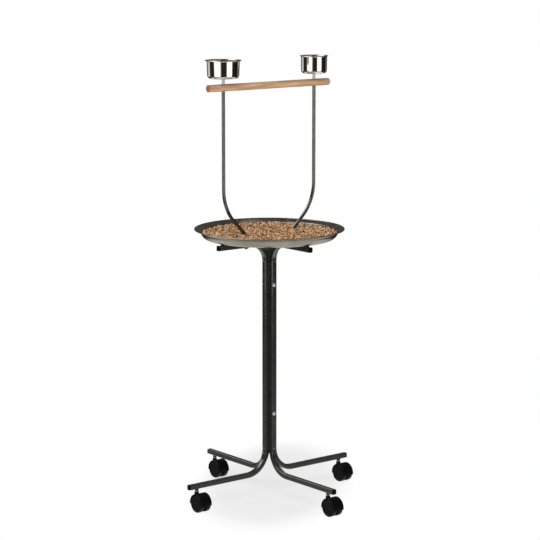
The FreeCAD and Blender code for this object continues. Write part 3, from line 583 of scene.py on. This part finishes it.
def makePerch():
    # a dowel turned about X with rounded ends; its radius swells and shrinks slowly, by
    # waviness times the sine along the dowel times the cosine of twice the angle round it
    flat = perch["radius"] - perch["round"]
    ends = arcPoints((perch["half"] - perch["round"], flat), perch["round"], 0, 90,
                     perch["roundSteps"])
    run = np.linspace(-1, 1, perch["runSteps"])[1:-1] * (perch["half"] - perch["round"])
    left = np.stack([-ends[:, 0], ends[:, 1]], -1)
    middle = np.stack([run, np.full(len(run), perch["radius"])], -1)
    face = np.stack([np.full(perch["endSteps"], -perch["half"]),
                     np.linspace(0, flat, perch["endSteps"])], -1)
    outline = np.vstack([face, left[1:], middle, ends[::-1], (face[::-1] * [-1, 1])[1:]])
    points, faces = spunSolid(outline[:, ::-1], perch["turnSteps"])
    x, y, z = points[:, 2], points[:, 0], points[:, 1]
    wave = np.sin(perch["waveRate"] * x + 1) * np.cos(2 * np.arctan2(z, y))
    wave = 1 + perch["waviness"] * wave
    points = np.stack([x, y * wave, z * wave + perch["height"]], -1)
    makePiece("dowelPerch", points, faces, dowel, ["perch"], sharp=60)


dowel = Finish("DowelWood", ior=1.45)
own = dowel.place()
fibres = dowel.noise(dowel.place((0.05, 1, 1)), 420, 5, 0.6)
bands = dowel.noise(dowel.place((0.10, 1, 1)), 90, 3, 0.5, 0.8)
grain = dowel.blend(*tone("dowel"), dowel.window(bands, 0.3, 0.7))
grain = dowel.blend(grain, tone("dowelFibre")[0], dowel.window(fibres, 0.50, 0.75, 0, 0.6))
fromMiddle = dowel.size(dowel.split(own, "X")[0])
endMask = dowel.window(fromMiddle, *(perch["half"] - gap for gap in perch["endGrainFrom"]))
rings = dowel.node("TexWave", {"wave_type": "RINGS", "rings_direction": "X"}, {
    "Vector": dowel.place(shift=Vector(perch["pith"]) - Vector((0, 0, perch["height"]))),
    "Scale": perch["growthRings"], "Distortion": 2.0, "Detail": 2.0, "Detail Scale": 2.0}, "Fac")
dowel.set(
    baseColor=dowel.blend(grain, dowel.blend(*tone("dowelEnd"), rings), endMask),
    roughness=dowel.window(bands, 0.3, 0.7, 0.5, 0.65),
    normal=dowel.bump(fibres, 0.0002, 0.5))
makePerch()
print("perch made")


cupShape = {
    "left": {"mouth": 0.045, "base": 0.0435, "rim": 0.050, "reach": -0.16},
    "right": {"mouth": 0.0368, "base": 0.0362, "rim": 0.040, "reach": 0.16},
    "bottom": 1.1912, "height": 0.050, "corner": 0.009, "sheet": 0.0008, "bead": 0.0011,
    "lipDrop": 0.00386, "lipBend": 0.002,
    # degrees that the curves of the lip and the bead span, and the points along each part
    "lipSpan": (178, 95), "beadSpan": (-150, 110), "floorSteps": 6, "cornerSteps": 14,
    "wallSteps": 10, "lipSteps": 8, "beadSteps": 18, "steps": 144}


def cupSide(size, shift):
    # floor, round corner, leaning wall and the curve out into the lip, for one side of the sheet
    inner = size["base"] - cupShape["corner"]
    run = np.linspace(0, inner, cupShape["floorSteps"])[:-1]
    floor = np.stack([run, np.full(len(run), shift)], -1)
    corner = arcPoints((inner, cupShape["corner"]), cupShape["corner"] - shift, -90, -2,
                       cupShape["cornerSteps"])
    top = cupShape["height"] - cupShape["lipDrop"] + shift
    wall = np.linspace(corner[-1], [size["mouth"] - shift, top], cupShape["wallSteps"])[1:]
    bend = arcPoints((size["mouth"] + cupShape["lipBend"], top), cupShape["lipBend"] + shift,
                     *cupShape["lipSpan"], cupShape["lipSteps"])
    return np.vstack([floor, corner, wall, bend])


def makeCup(side):
    # both sides of the sheet and the rolled bead between them, carried round Z
    size = cupShape[side]
    centre = (size["rim"] - cupShape["bead"], cupShape["height"] - cupShape["bead"])
    bead = arcPoints(centre, cupShape["bead"], *cupShape["beadSpan"], cupShape["beadSteps"])
    profile = np.vstack([cupSide(size, 0), bead, cupSide(size, cupShape["sheet"])[::-1]])
    points, faces = spunSolid(profile, cupShape["steps"])
    points = points + np.array([size["reach"], 0, cupShape["bottom"]])
    makePiece(side + "Cup", points, faces, polished, ["cup_" + side],
              body="feeding_cup_" + side, sharp=60)


makeCup("left")
makeCup("right")
print("cups made")


stage = {
    # the floor: its tone, the soft shade as an ellipse in the camera's directions (centre and
    # half length), and how bright it is in mirrors, by distance and by steepness
    "floorHalf": 3.2, "floorTone": (0.84, 0.84, 0.84, 1),
    "shadeDepth": (0.12, 0.41), "shadeWidth": (0.012, 0.19), "shadeSlant": 0.086,
    "shadeFull": 0.75, "shadeEnd": 1.32, "shadeShare": 0.38,
    "mirrorFull": 1.0, "mirrorEnd": 2.0, "mirrorNear": 0.9, "mirrorFar": 0.04,
    "steepRange": (0.45, 0.8, 0, 0.9),
    "lamps": {  # place, size across and power
        "keyLamp": ((-2.2, -2.4, 3.4), 2.4, 62.0),
        "sideLamp": ((-1.72, 3.05, 0.75), 1.2, 45.0),
        "fillLamp": ((1.6, -3.4, 0.8), 1.2, 26.0)},
    "aim": (0, 0, 0.6),
    "camera": (-3.5076, -4.3892, 1.6018), "towards": (0.6245, 0.7810), "pitch": 9.628,
    "lens": 135.71, "sensor": 36.0}

surround = {
    "white": (1, 1, 1, 1), "matt": (0.5, 0.5, 0.5, 1),
    "black": (0.004, 0.004, 0.003, 1), "dark": (0.022, 0.020, 0.016, 1),
    "dim": (0.15, 0.145, 0.13, 1), "light": (0.70, 0.66, 0.62, 1), "bright": (2.0, 2.0, 2.0, 1),
    "above": (0.03, 0.03, 0.028, 1), "behind": (0.11, 0.105, 0.095, 1),
    "zenith": (0.06, 0.058, 0.055, 1),
    # where these begin: two in height and one in radians from the camera's side
    "horizonEdge": (0.02, 0.12), "zenithEdge": (0.82, 0.9), "behindEdge": (2.2, 2.6),
    # degrees to the right of the camera, and the screen that stands there
    "screens": (
        (-180, "dark"), (-144, "dark"), (-132, "light"), (-114, "light"), (-104, "dark"),
        (-68, "dark"), (-58, "bright"), (-24, "bright"), (-15, "dim"), (-8, "dark"), (24, "dark"),
        (34, "bright"), (61, "bright"), (70, "dark"), (114, "black"), (128, "dim"), (145, "dim"),
        (160, "dark"), (180, "dark")),
    # panes over them: colour, edges in radians to the right of the camera, and edges in height,
    # where 1 is straight up
    "panes": (
        ((0.25, 0.245, 0.235, 1), (-0.9, -0.7), (0.5, 0.7), (0.38, 0.5), (0.72, 0.8)),
        ((0.9, 0.9, 0.9, 1), (2.2, 2.4), (2.8, 3.0), (0.84, 0.89), (1.1, 1.2)),
        ((3.5, 3.5, 3.5, 1), (-2.4, -2.2), (-0.8, -0.55), (0.46, 0.54), (0.86, 0.9)))}


def makeFloor():
    # a square sheet, lit evenly for the camera except in a soft shade: an ellipse of the
    # directions along and across the view, leaning a little with the depth
    half = stage["floorHalf"]
    mesh = bpy.data.meshes.new("floorSheet")
    mesh.from_pydata([(-half, -half, 0), (half, -half, 0), (half, half, 0), (-half, half, 0)], [],
                     [(0, 1, 2, 3)])
    floor = bpy.data.objects.new("floorSheet", mesh)
    bpy.context.scene.collection.objects.link(floor)
    paper = Finish("PaleFloor", roughness=0.9, baseColor=stage["floorTone"])
    own = paper.place()
    x, y = paper.split(own, "XY")
    across, along = stage["towards"]
    depth = x * across + y * along - stage["shadeDepth"][0]
    width = x * along - y * across - stage["shadeWidth"][0] - depth * stage["shadeSlant"]
    deep, wide = depth * (1 / stage["shadeDepth"][1]), width * (1 / stage["shadeWidth"][1])
    ring = (deep ** 2 + wide ** 2) ** 0.5
    shaded = paper.window(ring, stage["shadeFull"], stage["shadeEnd"], stage["shadeShare"], 0.0)
    cameraRay = paper.node("LightPath", output="Is Camera Ray")
    mirrorRay = paper.node("LightPath", output="Is Glossy Ray")
    facing = paper.node("LayerWeight", {}, {"Blend": 0.5}, "Facing")
    distance = paper.node("VectorMath", {"operation": "LENGTH"}, {0: own}, "Value")
    glow = paper.window(distance, stage["mirrorFull"], stage["mirrorEnd"], stage["mirrorNear"],
                        stage["mirrorFar"]) * (1 - paper.window(facing, *stage["steepRange"]))
    dim = paper.node("CombineXYZ", {}, {"X": glow, "Y": glow, "Z": glow})
    colour = paper.blend(surround["white"], dim, mirrorRay)
    white = paper.node("Emission", {}, {"Color": colour, "Strength": 1.0})
    mix = paper.tree.nodes.new("ShaderNodeMixShader")
    paper.feed(mix.inputs[0], (1 - shaded) * cameraRay + mirrorRay)
    paper.tree.links.new(paper.shader.outputs[0], mix.inputs[1])
    paper.tree.links.new(white.socket, mix.inputs[2])
    paper.tree.links.new(mix.outputs[0], paper.target)
    mesh.materials.append(paper.material)


def makeWorld():
    # white to the camera, an even grey to matt surfaces, and bright and dark screens standing
    # round the object to polished ones, by the angle from the camera's side
    world = bpy.data.worlds.new("Studio")
    bpy.context.scene.world = world
    world.use_nodes = True
    sky = Nodes(world.node_tree)
    x, y, height = sky.split(sky.node("TexCoord", output="Generated"), "XYZ")
    tx, ty = stage["towards"]
    angle = sky.node("Math", {"operation": "ARCTAN2"}, {0: x * ty - y * tx, 1: x * (-tx) - y * ty})
    stops = [(0.5 + degrees / 360, surround[name]) for degrees, name in surround["screens"]]
    mirrored = sky.node("ValToRGB", {"stops": stops}, {"Fac": angle * (0.5 / math.pi) + 0.5})
    above = sky.blend(surround["above"], surround["behind"],
                      sky.window(sky.size(angle), *surround["behindEdge"]))
    mirrored = sky.blend(mirrored, above, sky.window(height, *surround["horizonEdge"]))
    mirrored = sky.blend(mirrored, surround["zenith"],
                         sky.window(height, *surround["zenithEdge"]))
    for colour, turnIn, turnOut, riseIn, riseOut in surround["panes"]:
        mask = sky.between(angle, turnIn, turnOut) * sky.between(height, riseIn, riseOut)
        mirrored = sky.blend(mirrored, colour, mask)
    glossy = sky.node("LightPath", output="Is Glossy Ray")
    seen = sky.node("LightPath", output="Is Camera Ray")
    colour = sky.blend(sky.blend(surround["matt"], mirrored, glossy), surround["white"], seen)
    background = sky.node("Background", {}, {"Color": colour, "Strength": 1.0})
    target = sky.tree.nodes.new("ShaderNodeOutputWorld")
    sky.tree.links.new(background.socket, target.inputs[0])


def makeLamp(name, place, size, power):
    lamp = bpy.data.lights.new(name, "AREA")
    lamp.shape = "DISK"
    lamp.size = size
    lamp.energy = power
    holder = bpy.data.objects.new(name, lamp)
    holder.location = place
    aim = Vector(stage["aim"]) - Vector(place)
    holder.rotation_euler = aim.to_track_quat("-Z", "Y").to_euler()
    holder.visible_glossy = False  # the screens of the world are what shiny pieces mirror
    bpy.context.scene.collection.objects.link(holder)


def makeCamera():
    lens = bpy.data.cameras.new("photoCamera")
    lens.sensor_width = stage["sensor"]
    lens.lens = stage["lens"]
    lens.clip_end = 50
    camera = bpy.data.objects.new("photoCamera", lens)
    camera.location = stage["camera"]
    pitch = math.radians(stage["pitch"])
    tx, ty = stage["towards"]
    aim = Vector((tx * math.cos(pitch), ty * math.cos(pitch), -math.sin(pitch)))
    camera.rotation_euler = aim.to_track_quat("-Z", "Y").to_euler()
    bpy.context.scene.collection.objects.link(camera)
    bpy.context.scene.camera = camera


makeFloor()
makeWorld()
for name, (place, size, power) in stage["lamps"].items():
    makeLamp(name, place, size, power)
makeCamera()
bpy.context.scene.view_settings.view_transform = "Standard"
print("stage made")
